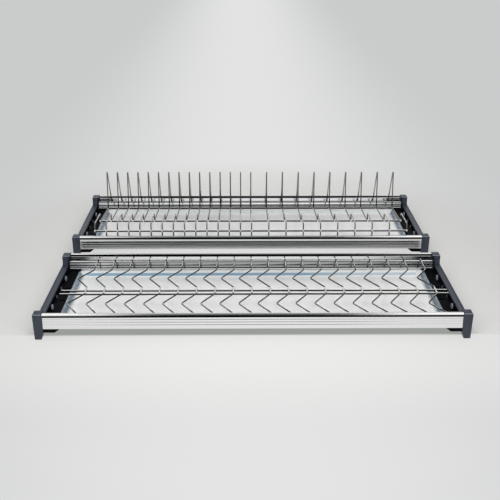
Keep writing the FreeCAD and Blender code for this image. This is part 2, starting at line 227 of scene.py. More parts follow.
# Bright paper hangs behind the rack, up to about 40 degrees and 18 degrees to each side.
# In front there is a low white wall, about 22 degrees wide, and above it a white panel on each side.
# The ceiling is grey, and the rest of the room is dark.
world = bpy.data.worlds.new("pale_room")
bpy.context.scene.world = world
world.use_nodes = True
tree = world.node_tree
tree.nodes.clear()
way = put_node(tree, "ShaderNodeTexCoord", {})
part = put_node(tree, "ShaderNodeSeparateXYZ", {"Vector": way.outputs["Generated"]})
side_distance = put_node(tree, "ShaderNodeMath", {0: part.outputs["X"]}, operation="ABSOLUTE")
aside = side_distance.outputs["Value"]
backward = part.outputs["Y"]
upward = part.outputs["Z"]
on_paper = region(tree, 1.0, (aside, 0.36, 0.24), (upward, 0.78, 0.52), (backward, 0.0, 0.3))
low_wall = region(tree, 1.0, (aside, 0.21, 0.175), (upward, 0.56, 0.46))
high_panels = region(tree, 1.0, (aside, 0.13, 0.22), (upward, 0.50, 0.62))
on_white = region(tree, in_any(tree, low_wall, high_panels), (backward, -0.10, -0.25))
up_and_back = put_node(tree, "ShaderNodeMath", {0: backward, 1: 0.5, 2: upward}, operation="MULTIPLY_ADD")
on_ceiling = region(tree, 1.0, (up_and_back.outputs["Value"], 0.55, 1.05))
room_tone = lay_tones(tree, "#20262C", (on_ceiling, "#8F918F"), (on_white, "#F0F1F1"), (on_paper, "#FFFFFF"))
room = put_node(tree, "ShaderNodeBackground", {"Color": room_tone, "Strength": 1.0})
backdrop = put_node(tree, "ShaderNodeBackground", {"Color": linear("#CFD1D1"), "Strength": 1.0})
ray = put_node(tree, "ShaderNodeLightPath", {})
chosen = put_node(
    tree,
    "ShaderNodeMixShader",
    {0: ray.outputs["Is Camera Ray"], 1: room.outputs[0], 2: backdrop.outputs[0]},
)
put_node(tree, "ShaderNodeOutputWorld", {"Surface": chosen.outputs[0]})


# Side brackets: four mouldings of dark slate ABS, two of each hand, one at each end of a tier.
# A post with a drawn-in foot stands at each end of a cored rail, and a ledge inside carries the tray.
bracket_low, bracket_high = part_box("plate_right_bracket")
tier_middle = (bracket_low.y + bracket_high.y) / 2
cored_side = 0.4186
cored_end = 0.127
shoe_side = 0.4140
shoe_top = 0.0249
moulded_edge = 0.0005


def rack_places(tree, place):
    """A place's X, Y and Z, its distance from the rack's middle, and that from its tier's middle line."""
    spot = put_node(tree, "ShaderNodeSeparateXYZ", {"Vector": place.outputs["Object"]})
    from_middle = put_node(tree, "ShaderNodeMath", {0: spot.outputs["X"]}, operation="ABSOLUTE")
    from_gap = put_node(tree, "ShaderNodeMath", {0: spot.outputs["Y"]}, operation="ABSOLUTE")
    past_middle = put_node(
        tree,
        "ShaderNodeMath",
        {0: from_gap.outputs["Value"], 1: tier_middle},
        operation="SUBTRACT",
    )
    across_tier = put_node(tree, "ShaderNodeMath", {0: past_middle.outputs["Value"]}, operation="ABSOLUTE")
    return spot.outputs, from_middle.outputs["Value"], across_tier.outputs["Value"]


# ABS takes a satin, finely grained skin from the spark-eroded mould.
# The grain is about 0.25 mm; here it is drawn at 0.6 mm, so that it shows.
abs_plastic, tree, shader = start_finish("moulded_slate_ABS")
place = put_node(tree, "ShaderNodeTexCoord", {})
grain = put_node(
    tree,
    "ShaderNodeTexNoise",
    {"Vector": place.outputs["Object"], "Scale": 1 / 0.0006, "Detail": 2.0},
)
# Slow changes of tone over about 30 mm come from the flow of the plastic.
flow = put_node(
    tree,
    "ShaderNodeTexNoise",
    {"Vector": place.outputs["Object"], "Scale": 1 / 0.03, "Detail": 3.0},
)
# Only the outside is polished, so the cored inside and the shoes are drawn matt; they lie in shade, which is
# painted on them as a darker tone.
spot, from_middle, across_tier = rack_places(tree, place)
inside_rail = region(
    tree,
    1.0,
    (from_middle, cored_side + 0.0002, cored_side - 0.0004),
    (across_tier, cored_end + 0.0005, cored_end - 0.0005),
)
under_profile = region(
    tree,
    1.0,
    (from_middle, shoe_side + 0.0002, shoe_side - 0.0002),
    (spot["Z"], shoe_top, shoe_top - 0.0002),
)
matt_painted_shade = in_any(tree, inside_rail, under_profile)
# The bevels at the top that face up and forwards catch the light, which is drawn as a lighter tone.
facing = put_node(tree, "ShaderNodeNewGeometry", {})
bevel_way = put_node(
    tree,
    "ShaderNodeVectorMath",
    {0: facing.outputs["Normal"], 1: (0, -0.7071, 0.7071)},
    operation="DOT_PRODUCT",
)
on_bevel = region(
    tree,
    0.8,
    (spot["Z"], 0.0553, 0.0556),
    (spot["Z"], 0.0564, 0.0561),
    (bevel_way.outputs["Value"], 0.955, 0.985),
)
# The flat ends of the bosses catch the light too and are drawn as light rings.
on_boss = region(
    tree,
    inside_rail,
    (from_middle, 0.4108, 0.4109),
    (from_middle, 0.4134, 0.4131),
    (spot["Z"], 0.0248, 0.0252),
)
bracket_tone = lay_tones(
    tree,
    "#282D38",
    (flow.outputs["Fac"], "#333A48"),
    (matt_painted_shade, "#08090C"),
    (on_bevel, "#9CA3B0"),
    (on_boss, "#7C828C"),
)
tree.links.new(bracket_tone, shader.inputs["Base Color"])
outside_gloss = put_node(
    tree,
    "ShaderNodeMapRange",
    {"Value": flow.outputs["Fac"], "To Min": 0.34, "To Max": 0.46},
)
gloss = put_node(
    tree,
    "ShaderNodeMapRange",
    {"Value": matt_painted_shade, "To Min": outside_gloss.outputs["Result"], "To Max": 0.55},
)
tree.links.new(gloss.outputs["Result"], shader.inputs["Roughness"])
relief = put_node(
    tree,
    "ShaderNodeBump",
    {"Height": grain.outputs["Fac"], "Strength": 0.35, "Distance": 0.00004},
)
tree.links.new(relief.outputs["Normal"], shader.inputs["Normal"])
shader.inputs["IOR"].default_value = 1.52
# The cored inside and the shoes get a shaded copy of the plastic that throws back next to nothing of the
# room, so that their painted shade stays as dark as the eye sees it.
shaded_plastic = abs_plastic.copy()
shaded_plastic.name = "shaded_slate_ABS"
shaded_plastic_shader = shaded_plastic.node_tree.nodes["Principled BSDF"]
shaded_plastic_shader.inputs["Specular IOR Level"].default_value = 0.04


def carried_copy(node_name, piece_name):
    """A merged copy of a solid of the frame, with its flat faces whole again."""
    deselect_all()
    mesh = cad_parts[node_name].data.copy()
    mesh.materials.clear()
    piece = bpy.data.objects.new(piece_name, mesh)
    bpy.context.scene.collection.objects.link(piece)
    bpy.context.view_layer.objects.active = piece
    piece.select_set(True)
    bpy.ops.object.mode_set(mode="EDIT")
    bpy.ops.mesh.select_all(action="SELECT")
    bpy.ops.mesh.remove_doubles(threshold=0.000005)
    bpy.ops.mesh.dissolve_limited(angle_limit=math.radians(0.5))
    bpy.ops.object.mode_set(mode="OBJECT")
    return piece


def finish_piece(piece, finish, body, nodes, smooth_angle):
    """Give a piece its finish, hang it on its body, and hide the imported parts that it stands for."""
    deselect_all()
    piece.select_set(True)
    bpy.context.view_layer.objects.active = piece
    bpy.ops.object.shade_smooth_by_angle(angle=math.radians(smooth_angle))
    if not piece.data.materials:
        piece.data.materials.append(finish)
    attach(piece, body)
    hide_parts(*nodes)


def select_where(test, kind="VERT"):
    """In edit mode, select the vertices, edges or faces of the piece that pass a test."""
    bpy.ops.mesh.select_mode(type=kind)
    bpy.ops.mesh.select_all(action="DESELECT")
    mesh = bmesh.from_edit_mesh(bpy.context.object.data)
    parts = {"VERT": mesh.verts, "EDGE": mesh.edges, "FACE": mesh.faces}[kind]
    for part in parts:
        if test(part):
            part.select_set(True)
    mesh.select_flush_mode()
    bmesh.update_edit_mesh(bpy.context.object.data)


def is_in_painted_shade(face):
    """Whether a face of a bracket lies inside its cored rail, or on the shoe under the profile, where shade
    is painted.
    """
    middle = face.calc_center_median()
    in_rail = abs(middle.x) < cored_side and abs(abs(middle.y) - tier_middle) < cored_end
    on_shoe = abs(middle.x) < shoe_side and middle.z < shoe_top
    return in_rail or on_shoe


for tier in ("cup", "plate"):
    for side in ("left", "right"):
        node = f"{tier}_{side}_bracket"
        bracket = carried_copy(node, f"{node}_moulding")
        edge = bracket.modifiers.new("moulded_edge", "BEVEL")
        edge.width = moulded_edge
        edge.segments = 2
        edge.limit_method = "ANGLE"
        edge.angle_limit = math.radians(35)
        bpy.ops.object.modifier_apply(modifier="moulded_edge")
        bracket.data.materials.append(abs_plastic)
        bracket.data.materials.append(shaded_plastic)
        bpy.ops.object.mode_set(mode="EDIT")
        select_where(is_in_painted_shade, "FACE")
        bracket.active_material_index = 1
        bpy.ops.object.material_slot_assign()
        bpy.ops.object.mode_set(mode="OBJECT")
        finish_piece(bracket, abs_plastic, f"{tier}_frame", [node], 40)


# Profiles: four lengths of one hollow aluminium extrusion, bright anodised and cut square.
# Each has a round bead on top, a ribbed face, and an inner shelf that the wires stand on.
# In the outline, the first number is the distance from the tier's end and the second the height.
profile_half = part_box("cup_front_profile")[1].x
bead_radius = 0.0059
bead_top = 0.0566
bead_turns = [math.radians(turn) for turn in range(-60, 49, 12)]
bead = [
    (bead_radius * (1 + math.sin(turn)), bead_top - bead_radius * (1 - math.cos(turn)))
    for turn in bead_turns
]
ribbed_face = [
    (0.0003, 0.0245), (0.0008, 0.0327), (0.0014, 0.0333), (0.0009, 0.0339),
    (0.0012, 0.0384), (0.0018, 0.0390), (0.0013, 0.0396),
    (0.0016, 0.0440), (0.0022, 0.0446), (0.0017, 0.0452),
]
neck = [(0.0012, 0.0492), (0.0040, 0.0494), (0.0040, 0.0533), (0.0012, 0.0534)]
undercut = [(0.0100, 0.0544), (0.0090, 0.0542), (0.0090, 0.0516), (0.0114, 0.0514)]
inner_wall = [(0.0120, 0.0508), (0.0120, 0.0460)]
rib_corners = [(0.0268, 0.0460), (0.0290, 0.0300), (0.0290, 0.0254)]
ribs = [
    (0.0290, 0.0386), (0.0262, 0.0384), (0.0262, 0.0362), (0.0272, 0.0360),
    (0.0290, 0.0324), (0.0262, 0.0322), (0.0262, 0.0302),
]
foot = [(0.0270, 0.0256), (0.0270, 0.0245)]
outline = [
    *ribbed_face, *neck, *bead, *undercut, *inner_wall,
    rib_corners[0], *ribs, *rib_corners[1:], *foot,
]
rib_round = 0.0014

# Bright dipping and anodising leave aluminium almost a mirror, drawn out along the extrusion.
# Its die lines are about 0.3 mm apart and 60 mm or more long.
anodised, tree, shader = start_finish("bright_anodised_aluminium")
place = put_node(tree, "ShaderNodeTexCoord", {})
along_rack = put_node(
    tree,
    "ShaderNodeMapping",
    {"Vector": place.outputs["Object"], "Scale": (1 / 0.06, 1 / 0.0003, 1 / 0.0003)},
)
die_lines = put_node(
    tree,
    "ShaderNodeTexNoise",
    {"Vector": along_rack.outputs["Vector"], "Scale": 1.0, "Detail": 2.0},
)
# The neck, the slot under the shelf and the undercut hold deep shade and are drawn nearly black.
spot, from_middle, across_tier = rack_places(tree, place)
height = spot["Z"]
in_neck = region(
    tree,
    1.0,
    (height, 0.0536, 0.0534),
    (height, 0.0490, 0.0494),
    (across_tier, 0.1338, 0.1348),
)
in_slot = region(
    tree,
    1.0,
    (height, 0.0456, 0.0454),
    (across_tier, 0.1175, 0.1185),
    (across_tier, 0.1215, 0.1205),
)
in_undercut = region(
    tree,
    1.0,
    (height, 0.0557, 0.0554),
    (height, 0.0512, 0.0515),
    (across_tier, 0.1336, 0.1341),
    (across_tier, 0.1372, 0.1368),
)
# The second rib inside, and on the cup tier the first one too, are drawn in shade but for 90 mm at each end.
on_first_rib = region(
    tree,
    0.58,
    (from_middle, 0.35, 0.30),
    (spot["Y"], 0.01, -0.01),
    (height, 0.0450, 0.0446),
)
on_second_rib = region(tree, 0.22, (from_middle, 0.35, 0.30), (height, 0.0388, 0.0384))
shaded_ribs = region(
    tree,
    in_any(tree, on_first_rib, on_second_rib),
    (height, 0.0299, 0.0303),
    (across_tier, 0.1215, 0.1205),
)
# The brackets' reflection in the inner wall above the shelf is drawn as a dark patch, 40 mm at each end.
end_patch = region(
    tree,
    1.0,
    (from_middle, 0.362, 0.388),
    (height, 0.0462, 0.0466),
    (height, 0.0510, 0.0506),
    (across_tier, 0.1345, 0.1335),
)
dark_share = in_any(tree, in_neck, in_slot, in_undercut, shaded_ribs, end_patch)
profile_tone = lay_tones(tree, "#F0F0F1", (die_lines.outputs["Fac"], "#FAFAFA"), (dark_share, "#17191B"))
tree.links.new(profile_tone, shader.inputs["Base Color"])
gloss = put_node(
    tree,
    "ShaderNodeMapRange",
    {"Value": die_lines.outputs["Fac"], "To Min": 0.10, "To Max": 0.16},
)
tree.links.new(gloss.outputs["Result"], shader.inputs["Roughness"])
relief = put_node(
    tree,
    "ShaderNodeBump",
    {"Height": die_lines.outputs["Fac"], "Strength": 0.04, "Distance": 0.00002},
)
tree.links.new(relief.outputs["Normal"], shader.inputs["Normal"])
shader.inputs["Metallic"].default_value = 1.0


def near(a, b):
    """Whether two lengths are the same to a hundredth of a millimetre."""
    return abs(a - b) < 0.00001


def own_copy(master, name, move):
    """A copy of a piece with its own mesh, moved in the mesh by a matrix."""
    mesh = master.data.copy()
    mesh.transform(move)
    if move.determinant() < 0:
        mesh.flip_normals()
    copy = bpy.data.objects.new(name, mesh)
    bpy.context.scene.collection.objects.link(copy)
    return copy


deselect_all()
bpy.ops.mesh.primitive_plane_add(size=0.01, location=(-profile_half, *outline[0]))
profile_master = bpy.context.object
bpy.ops.object.transform_apply(location=True, rotation=True, scale=True)
bpy.ops.object.mode_set(mode="EDIT")
bpy.ops.mesh.select_mode(type="VERT")
bpy.ops.mesh.select_all(action="SELECT")
bpy.ops.mesh.merge(type="CENTER")
for (y0, z0), (y1, z1) in zip(outline, outline[1:]):
    bpy.ops.mesh.extrude_region_move(TRANSFORM_OT_translate={"value": (0, y1 - y0, z1 - z0)})
bpy.ops.mesh.select_all(action="SELECT")
bpy.ops.mesh.remove_doubles(threshold=0.000001)
bpy.ops.mesh.edge_face_add()
select_where(lambda v: any(near(v.co.y, y) and near(v.co.z, z) for y, z in rib_corners))
bpy.ops.mesh.bevel(affect="VERTICES", offset=rib_round, segments=4)
bpy.ops.mesh.select_all(action="SELECT")
bpy.ops.mesh.extrude_region_move(TRANSFORM_OT_translate={"value": (2 * profile_half, 0, 0)})
bpy.ops.mesh.select_all(action="SELECT")
bpy.ops.mesh.normals_make_consistent(inside=False)
bpy.ops.object.mode_set(mode="OBJECT")

tier_depth = bracket_high.y - bracket_low.y
tier_front = {tier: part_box(f"{tier}_left_bracket")[0].y for tier in ("cup", "plate")}
for tier in ("cup", "plate"):
    to_front = Matrix.Translation((0, tier_front[tier], 0))
    to_rear = Matrix.Translation((0, tier_front[tier] + tier_depth, 0)) @ Matrix.Scale(-1, 4, (0, 1, 0))
    for end, move in (("front", to_front), ("rear", to_rear)):
        node = f"{tier}_{end}_profile"
        profile = own_copy(profile_master, f"{node}_extrusion", move)
        finish_piece(profile, anodised, f"{tier}_frame", [node], 30)
bpy.data.objects.remove(profile_master)


# Fixing screws: eight zinc-plated pan-head screws hold the profiles between the brackets.
# Only the heads show, sunk in the brackets' outer faces, each with a pressed cross recess.
head_radius = 0.0033
head_height = 0.0022
head_sunk = 0.0006
head_round = 0.0013
shank_radius = 0.00155
shank_length = 0.0296
recess_size = (0.0036, 0.0009, 0.0024)
port_from_end = 0.0051
port_height = 0.0409
turn_per_metre = 40

# Zinc plating is a greyish satin. Its crystals are far too fine to see; the noise stands for
# handling marks of about 1 mm.
zinc, tree, shader = start_finish("zinc_plated_steel")
place = put_node(tree, "ShaderNodeTexCoord", {})
marks = put_node(
    tree,
    "ShaderNodeTexNoise",
    {"Vector": place.outputs["Object"], "Scale": 1 / 0.001, "Detail": 2.0},
)
screw_tone = lay_tones(tree, "#A9ABAC", (marks.outputs["Fac"], "#C4C5C3"))
tree.links.new(screw_tone, shader.inputs["Base Color"])
gloss = put_node(
    tree,
    "ShaderNodeMapRange",
    {"Value": marks.outputs["Fac"], "To Min": 0.25, "To Max": 0.42},
)
tree.links.new(gloss.outputs["Result"], shader.inputs["Roughness"])
shader.inputs["Metallic"].default_value = 1.0

deselect_all()
bpy.ops.mesh.primitive_cylinder_add(
    vertices=24,
    radius=head_radius,
    depth=head_height,
    location=(0, 0, -head_height / 2),
)
screw_master = bpy.context.object
bpy.ops.object.transform_apply(location=True, rotation=True, scale=True)
bpy.ops.object.mode_set(mode="EDIT")
select_where(lambda e: all(near(v.co.z, 0) for v in e.verts), "EDGE")
bpy.ops.mesh.bevel(affect="EDGES", offset=head_round, segments=5)
select_where(lambda f: all(near(v.co.z, -head_height) for v in f.verts), "FACE")
bpy.ops.mesh.inset(thickness=head_radius - shank_radius)
bpy.ops.mesh.extrude_region_move(TRANSFORM_OT_translate={"value": (0, 0, -shank_length)})
bpy.ops.object.mode_set(mode="OBJECT")
for turn in (0, 90):
    deselect_all()
    bpy.ops.mesh.primitive_cube_add(size=1.0, scale=recess_size)
    cutter = bpy.context.object
    bpy.ops.object.transform_apply(location=True, rotation=True, scale=True)
    bpy.ops.object.mode_set(mode="EDIT")
    select_where(lambda f: f.normal.z < -0.9, "FACE")
    bpy.ops.transform.resize(value=(0.35, 0.7, 1))
    bpy.ops.object.mode_set(mode="OBJECT")
    cutter.data.transform(Matrix.Rotation(math.radians(turn), 4, "Z"))
    recess = screw_master.modifiers.new("recess", "BOOLEAN")
    recess.operation = "DIFFERENCE"
    recess.object = cutter
    recess.solver = "EXACT"
    deselect_all()
    screw_master.select_set(True)
    bpy.context.view_layer.objects.active = screw_master
    bpy.ops.object.modifier_apply(modifier="recess")
    bpy.data.objects.remove(cutter)

# Each screw stops where it bites, so the crosses in front and behind don't stand alike.
head_top = bracket_high.x - head_sunk
for tier in ("cup", "plate"):
    for side, way in (("left", -1), ("right", 1)):
        node = f"{tier}_{side}_screws"
        for end, y in (("front", port_from_end), ("rear", tier_depth - port_from_end)):
            seat = Matrix.Translation((way * head_top, tier_front[tier] + y, port_height))
            lying = Matrix.Rotation(way * math.pi / 2, 4, "Y") @ Matrix.Rotation(y * turn_per_metre, 4, "Z")
            screw = own_copy(screw_master, f"{tier}_{side}_{end}_screw", seat @ lying)
            finish_piece(screw, zinc, f"{tier}_frame", [node], 30)
bpy.data.objects.remove(screw_master)


# Drip trays: two shallow pans pressed from thin bright stainless sheet.
# The rim lies on the brackets' ledges, the sides slope in, and the corners are widely rounded.
tray_low, tray_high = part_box("plate_drip_tray")
tray_half_length = 0.3925
tray_half_width = (tray_high.y - tray_low.y) / 2
rim_top = tray_high.z
sheet = 0.0008
tray_rim = 0.004
tray_slope = 0.012
tray_depth = tray_high.z - tray_low.z - sheet
tray_corner = 0.007
floor_round = 0.0045
rim_round = 0.0012

# Bright rolled stainless is almost a mirror, but the rolls leave faint streaks along the sheet,
# about 2 mm wide and 150 mm long, that blur what it reflects.
bright_sheet, tree, shader = start_finish("bright_stainless_sheet")
place = put_node(tree, "ShaderNodeTexCoord", {})
along_sheet = put_node(
    tree,
    "ShaderNodeMapping",
    {"Vector": place.outputs["Object"], "Scale": (1 / 0.15, 1 / 0.002, 1 / 0.002)},
)
streaks = put_node(
    tree,
    "ShaderNodeTexNoise",
    {"Vector": along_sheet.outputs["Vector"], "Scale": 1.0, "Detail": 3.0},
)
# Thin sheet isn't quite flat: slow waves of about 60 mm bend what it reflects.
waves = put_node(
    tree,
    "ShaderNodeTexNoise",
    {"Vector": place.outputs["Object"], "Scale": 1 / 0.06, "Detail": 1.0},
)
# Handling leaves faint clouds of about 25 mm on the flat.
clouds = put_node(
    tree,
    "ShaderNodeTexNoise",
    {"Vector": place.outputs["Object"], "Scale": 1 / 0.025, "Detail": 4.0, "Distortion": 1.5},
)
flat_tone = lay_tones(tree, "#F0F0EF", (clouds.outputs["Fac"], "#FFFFFF"))
# The sloping sides show the cool light of the room as a blue band, which is drawn here as a tone:
# it is in the cup tray alone and pales towards the right end. The sides' upper third stays pale.
spot, from_middle, across_tier = rack_places(tree, place)
to_right = region(tree, 1.0, (spot["X"], 0.10, 0.24))
on_cup_tray = region(tree, 1.0, (spot["Y"], 0.05, -0.05))
upper_third = region(tree, 1.0, (across_tier, 0.1068, 0.1078))
blue_tone = lay_tones(tree, "#769EBA", (to_right, "#B4C4CD"))
wide_tone = lay_tones(tree, "#E6EAEC", (on_cup_tray, blue_tone), (upper_third, "#E3EAEC"))
# The two short sides are painted dark blue above, with small bright glints of about 6 mm, and pale below: a
# painted reflection of the room with painted highlights.
glint_noise = put_node(
    tree,
    "ShaderNodeTexNoise",
    {"Vector": place.outputs["Object"], "Scale": 1 / 0.006, "Detail": 2.0, "Distortion": 2.0},
)
in_glint = region(tree, 0.7, (glint_noise.outputs["Fac"], 0.58, 0.64))
low_on_side = region(tree, 1.0, (from_middle, 0.3835, 0.3805))
short_tone = lay_tones(tree, "#3E5C76", (in_glint, "#DCE4E8"), (low_on_side, "#D4D8D9"))
on_short_side = region(tree, 1.0, (from_middle, 0.3745, 0.3755))
side_tone = lay_tones(tree, wide_tone, (on_short_side, short_tone))
facing = put_node(tree, "ShaderNodeNewGeometry", {})
upward = put_node(tree, "ShaderNodeSeparateXYZ", {"Vector": facing.outputs["Normal"]})
on_side = region(tree, 1.0, (upward.outputs["Z"], 0.93, 0.82))
# The rims at the two ends take the same painted reflection as the sides.
on_end_rim = region(tree, 0.8, (from_middle, 0.3870, 0.3880))
tray_tone = lay_tones(tree, flat_tone, (in_any(tree, on_side, on_end_rim), side_tone))
tree.links.new(tray_tone, shader.inputs["Base Color"])
gloss = put_node(
    tree,
    "ShaderNodeMapRange",
    {"Value": streaks.outputs["Fac"], "To Min": 0.30, "To Max": 0.38},
)
tree.links.new(gloss.outputs["Result"], shader.inputs["Roughness"])
relief = put_node(
    tree,
    "ShaderNodeBump",
    {"Height": waves.outputs["Fac"], "Strength": 0.12, "Distance": 0.0003},
)
tree.links.new(relief.outputs["Normal"], shader.inputs["Normal"])
shader.inputs["Metallic"].default_value = 0.35


def runs_down_corner(edge):
    """Whether an edge of the tray runs askew, down one of its four corners."""
    start, end = (v.co for v in edge.verts)
    return abs(start.x - end.x) > 0.001 and abs(start.y - end.y) > 0.001


def is_inner_rim(edge):
    """Whether an edge lies at the top of the tray's sloping side."""
    at_top = all(near(v.co.z, rim_top) for v in edge.verts)
    slopes_down = any(
        all(v.co.z < rim_top - 0.0001 for v in f.verts if v not in edge.verts)
        for f in edge.link_faces
    )
    return at_top and not edge.is_boundary and slopes_down


deselect_all()
bpy.ops.mesh.primitive_plane_add(size=2.0, location=(0, 0, rim_top))
tray_master = bpy.context.object
tray_master.scale = (tray_half_length, tray_half_width, 1)
bpy.ops.object.transform_apply(location=True, rotation=True, scale=True)
bpy.ops.object.mode_set(mode="EDIT")
bpy.ops.mesh.select_all(action="SELECT")
bpy.ops.mesh.inset(thickness=tray_rim)
bpy.ops.mesh.inset(thickness=tray_slope, depth=0)
bpy.ops.transform.translate(value=(0, 0, -tray_depth))
select_where(runs_down_corner, "EDGE")
bpy.ops.mesh.bevel(affect="EDGES", offset=tray_corner, segments=6)
floor_z = rim_top - tray_depth
select_where(lambda e: all(near(v.co.z, floor_z) for v in e.verts) and not e.is_boundary, "EDGE")
bpy.ops.mesh.bevel(affect="EDGES", offset=floor_round, segments=6)
select_where(is_inner_rim, "EDGE")
bpy.ops.mesh.bevel(affect="EDGES", offset=rim_round, segments=3)
bpy.ops.object.mode_set(mode="OBJECT")
thickness = tray_master.modifiers.new("sheet", "SOLIDIFY")
thickness.thickness = sheet
thickness.offset = -1
bpy.ops.object.modifier_apply(modifier="sheet")
for tier in ("cup", "plate"):
    node = f"{tier}_drip_tray"
    move = Matrix.Translation((0, tier_front[tier] + tier_depth / 2, 0))
    tray = own_copy(tray_master, f"{node}_pressing", move)
    finish_piece(tray, bright_sheet, f"{tier}_tray", [node], 40)
bpy.data.objects.remove(tray_master)


# Rods: five straight stainless rods of 4.5 mm that the thinner wires are welded on.
# Their ends are cut square and barrelled to take off the burr.
rod_radius = 0.00225
rod_end_round = 0.0006
drawn_finish = {}

# Rods and wires are bright drawn stainless: a highlight is painted on their upper side, and their flanks
# show the dark room, which is laid on here as a dark tone, a painted reflection. The rods' painted highlight
# covers more of their round.
for name, top_start, top_end, shine_over_tray in (
    ("stainless_rod_painted_shine", 0.68, 0.92, 1.0),
    ("bright_drawn_stainless_wire", 0.80, 0.97, 0.35),
):
    finish, tree, shader = start_finish(name)
    place = put_node(tree, "ShaderNodeTexCoord", {})
    # Drawing through the die leaves patches of tone over about 8 mm of wire.
    patches = put_node(
        tree,
        "ShaderNodeTexNoise",
        {"Vector": place.outputs["Object"], "Scale": 1 / 0.008, "Detail": 3.0},
    )
    spot, from_middle, across_tier = rack_places(tree, place)
    # The wires' bright top is weak over the trays, and full over the ribs, beside the brackets and high up.
    over_ribs = region(tree, 1.0, (across_tier, 0.114, 0.110), (across_tier, 0.086, 0.090))
    beside_bracket = region(tree, 1.0, (from_middle, 0.375, 0.390))
    on_hump = region(tree, 1.0, (spot["Z"], 0.070, 0.076))
    over_dark = in_any(tree, over_ribs, beside_bracket, on_hump)
    shine = put_node(
        tree,
        "ShaderNodeMapRange",
        {"Value": over_dark, "To Min": shine_over_tray, "To Max": 1.0},
    )
    facing = put_node(tree, "ShaderNodeNewGeometry", {})
    upward = put_node(tree, "ShaderNodeSeparateXYZ", {"Vector": facing.outputs["Normal"]})
    bright_top = region(tree, shine.outputs["Result"], (upward.outputs["Z"], top_start, top_end))
    # The humps and above all the tall loops stand in the open light, so their flanks are lighter.
    on_loop = region(tree, 1.0, (spot["Z"], 0.055, 0.085))
    drawn_tone = lay_tones(
        tree,
        "#1C1C1C",
        (patches.outputs["Fac"], "#353432"),
        (on_loop, "#A8A5A0"),
        (bright_top, "#E4E4E2"),
    )
    tree.links.new(drawn_tone, shader.inputs["Base Color"])
    # The bright top is drawn less metallic, so that it also takes the light of lamps hidden from the metal.
    scattered = put_node(tree, "ShaderNodeMapRange", {"Value": bright_top, "To Min": 1.0, "To Max": 0.35})
    tree.links.new(scattered.outputs["Result"], shader.inputs["Metallic"])
    gloss = put_node(
        tree,
        "ShaderNodeMapRange",
        {"Value": patches.outputs["Fac"], "To Min": 0.10, "To Max": 0.22},
    )
    tree.links.new(gloss.outputs["Result"], shader.inputs["Roughness"])
    drawn_finish[name] = finish
bright_rod = drawn_finish["stainless_rod_painted_shine"]
bright_wire = drawn_finish["bright_drawn_stainless_wire"]

for node in ("cup_front_rod", "cup_rear_rod", "plate_front_rod", "plate_step_rod", "plate_loop_rod"):
    low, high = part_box(node)
    deselect_all()
    bpy.ops.mesh.primitive_cylinder_add(
        vertices=24,
        radius=rod_radius,
        depth=high.x - low.x,
        location=(low + high) / 2,
        rotation=(0, math.pi / 2, 0),
    )
    rod = bpy.context.object
    rod.name = f"{node}_steel"
    bpy.ops.object.transform_apply(location=True, rotation=True, scale=True)
    bpy.ops.object.mode_set(mode="EDIT")
    select_where(lambda e: abs(e.verts[0].co.x - e.verts[1].co.x) < 0.001 and len(e.link_faces) == 2, "EDGE")
    bpy.ops.mesh.bevel(affect="EDGES", offset=rod_end_round, segments=3)
    bpy.ops.object.mode_set(mode="OBJECT")
    body = "cup_basket" if node.startswith("cup") else "plate_basket"
    finish_piece(rod, bright_rod, body, [node], 35)


# Cup wires: twenty chevron wires of 3 mm stainless, each bent flat from one length.
# They are welded on the two middle rods, and their ends rest on the shelves of the profiles.
wire_radius = 0.0015
wire_sides = 12
wire_z = 0.0478
chevron_reach = -0.028
chevron_bend = 0.009
chevron_points = [
    Vector((0, 0.014, wire_z)),
    Vector((0, 0.020, wire_z)),
    Vector((chevron_reach, 0.0615, wire_z)),
    Vector((0, 0.103, wire_z)),
    Vector((0, 0.133, wire_z)),
    Vector((chevron_reach, 0.1745, wire_z)),
    Vector((0, 0.216, wire_z)),
    Vector((0, 0.2705, wire_z)),
]
weld_sink = 0.15
weld_size = (0.0028, 0.0026, 0.0024)
painted_shine_start = 0.106
painted_shine_end = 0.130
cup_pitch = 0.0387
cup_count = 20
cup_shift = 0.018


def run_wire(name, points, radii):
    """A round wire along straight runs with a round bend at each inner point."""
    deselect_all()
    way = (points[1] - points[0]).normalized()
    bpy.ops.mesh.primitive_circle_add(
        vertices=wire_sides,
        radius=wire_radius,
        location=points[0],
        rotation=way.to_track_quat("Z", "Y").to_euler(),
    )
    wire = bpy.context.object
    wire.name = name
    bpy.ops.object.transform_apply(location=True, rotation=True, scale=True)
    bpy.ops.object.mode_set(mode="EDIT")
    bpy.ops.mesh.select_mode(type="VERT")
    bpy.ops.mesh.select_all(action="SELECT")
    here = points[0]
    for i, radius in enumerate(radii, 1):
        back = (points[i - 1] - points[i]).normalized()
        ahead = (points[i + 1] - points[i]).normalized()
        half = back.angle(ahead) / 2
        enter = points[i] + back * (radius / math.tan(half))
        centre = points[i] + (back + ahead).normalized() * (radius / math.sin(half))
        turn = math.pi - 2 * half
        bpy.ops.mesh.extrude_region_move(TRANSFORM_OT_translate={"value": enter - here})
        bpy.ops.mesh.spin(
            steps=max(4, round(turn / math.radians(12))),
            angle=-turn,
            center=centre,
            axis=(enter - centre).cross(-back),
        )
        here = points[i] + ahead * (radius / math.tan(half))
    bpy.ops.mesh.extrude_region_move(TRANSFORM_OT_translate={"value": points[-1] - here})
    for end in (points[0], points[-1]):
        select_where(lambda e: e.is_boundary and (e.verts[0].co - end).length < 2 * wire_radius, "EDGE")
        bpy.ops.mesh.edge_face_add()
    bpy.ops.mesh.select_all(action="SELECT")
    bpy.ops.mesh.remove_doubles(threshold=0.000005)
    bpy.ops.mesh.normals_make_consistent(inside=False)
    bpy.ops.object.mode_set(mode="OBJECT")
    return wire
